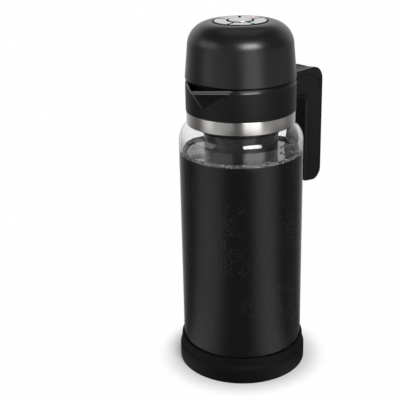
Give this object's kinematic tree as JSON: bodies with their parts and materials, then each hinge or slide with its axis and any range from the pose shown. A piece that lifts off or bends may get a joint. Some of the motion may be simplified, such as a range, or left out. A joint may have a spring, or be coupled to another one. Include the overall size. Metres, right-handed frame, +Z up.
{
  "type": "cold brew coffee maker",
  "caption": "Glass cold brew carafe in a rubber boot with a spouted collar, side handle and a domed lift-off drive head with push buttons and a filter basket.",
  "frame": {"origin": "centre of the boot's underside, on the carafe's axis", "axes": "+Z up along the carafe, +X towards the handle, -X towards the spout"},
  "size_m": [0.1607, 0.1112, 0.3045],
  "materials": {
    "boot_rubber": "soft matt black rubber",
    "cushion_foam": "matt black foam rubber",
    "carafe_glass": "clear blown glass",
    "gasket_rubber": "black silicone",
    "band_steel": "brushed round the band",
    "collar_plastic": "fine satin moulding",
    "handle_plastic": "fine satin moulding",
    "dome_plastic": "fine satin moulding",
    "inner_plastic": "plain moulding",
    "screw_steel": "plated steel",
    "bush_brass": "turned brass",
    "cell_wrap": "shrink wrap",
    "motor_steel": "drawn steel",
    "shaft_steel": "ground steel",
    "impeller_plastic": "moulded white plastic",
    "riser_plastic": "smoke plastic",
    "basket_plastic": "dark grey plastic",
    "mesh_steel": "fine etched mesh",
    "keypad_black": "black moulding",
    "button_silver": "pearl silver lacquer",
    "light_lens": "tinted lens",
    "board_green": "solder mask",
    "switch_plastic": "black nylon",
    "socket_plastic": "black nylon"
  },
  "bodies": {
    "carafe": {"base_boot": "boot_rubber", "base_cushion": "cushion_foam", "glass_carafe": "carafe_glass", "neck_gasket": "gasket_rubber", "rim_gasket": "gasket_rubber", "steel_band": "band_steel", "spout_collar": "collar_plastic", "handle_grip": "handle_plastic", "handle_shell": "handle_plastic", "handle_screws": "screw_steel"},
    "rotor": {"motor_shaft": "shaft_steel", "shaft_coupling": "bush_brass", "drive_shaft": "shaft_steel", "impeller": "impeller_plastic"},
    "start_button": {"start_button": "button_silver"},
    "front_button": {"front_button": "button_silver"},
    "right_button": {"right_button": "button_silver"},
    "rear_right_button": {"rear_right_button": "button_silver", "light_lens": "light_lens"},
    "rear_left_button": {"rear_left_button": "button_silver"},
    "left_button": {"left_button": "button_silver"},
    "drive_head": {"basket_base": "basket_plastic", "basket_frame": "basket_plastic", "basket_lid": "basket_plastic", "basket_mesh": "mesh_steel", "battery_cells": "cell_wrap", "board_screws": "screw_steel", "button_frame": "keypad_black", "charge_socket": "socket_plastic", "chassis_screws": "screw_steel", "control_board": "board_green", "dome_housing": "dome_plastic", "drive_chassis": "inner_plastic", "head_seal": "gasket_rubber", "key_switches": "switch_plastic", "motor_can": "motor_steel", "motor_mount": "inner_plastic", "mount_screws": "screw_steel", "riser_foot": "riser_plastic", "riser_tube": "riser_plastic", "shaft_bush": "bush_brass", "shaft_seal": "gasket_rubber"}
  },
  "joints": [
    {"name": "head_lift", "type": "slide", "parent": "carafe", "child": "drive_head", "axis": [0, 0, 1], "range_m": [0, 0.26]},
    {"name": "rotor_spin", "type": "hinge", "parent": "drive_head", "child": "rotor", "pos_m": [0, 0, 0.26], "axis": [0, 0, 1], "continuous": true},
    {"name": "start_button_press", "type": "slide", "parent": "drive_head", "child": "start_button", "axis": [0, 0, -1], "range_m": [0, 0.001], "stiffness_N_per_m": 400, "springref_m": -0.0008},
    {"name": "front_button_press", "type": "slide", "parent": "drive_head", "child": "front_button", "axis": [0, 0, -1], "range_m": [0, 0.001], "stiffness_N_per_m": 400, "springref_m": -0.0008},
    {"name": "right_button_press", "type": "slide", "parent": "drive_head", "child": "right_button", "axis": [0, 0, -1], "range_m": [0, 0.001], "stiffness_N_per_m": 400, "springref_m": -0.0008},
    {"name": "rear_right_button_press", "type": "slide", "parent": "drive_head", "child": "rear_right_button", "axis": [0, 0, -1], "range_m": [0, 0.001], "stiffness_N_per_m": 400, "springref_m": -0.0008},
    {"name": "rear_left_button_press", "type": "slide", "parent": "drive_head", "child": "rear_left_button", "axis": [0, 0, -1], "range_m": [0, 0.001], "stiffness_N_per_m": 400, "springref_m": -0.0008},
    {"name": "left_button_press", "type": "slide", "parent": "drive_head", "child": "left_button", "axis": [0, 0, -1], "range_m": [0, 0.001], "stiffness_N_per_m": 400, "springref_m": -0.0008}
  ]
}
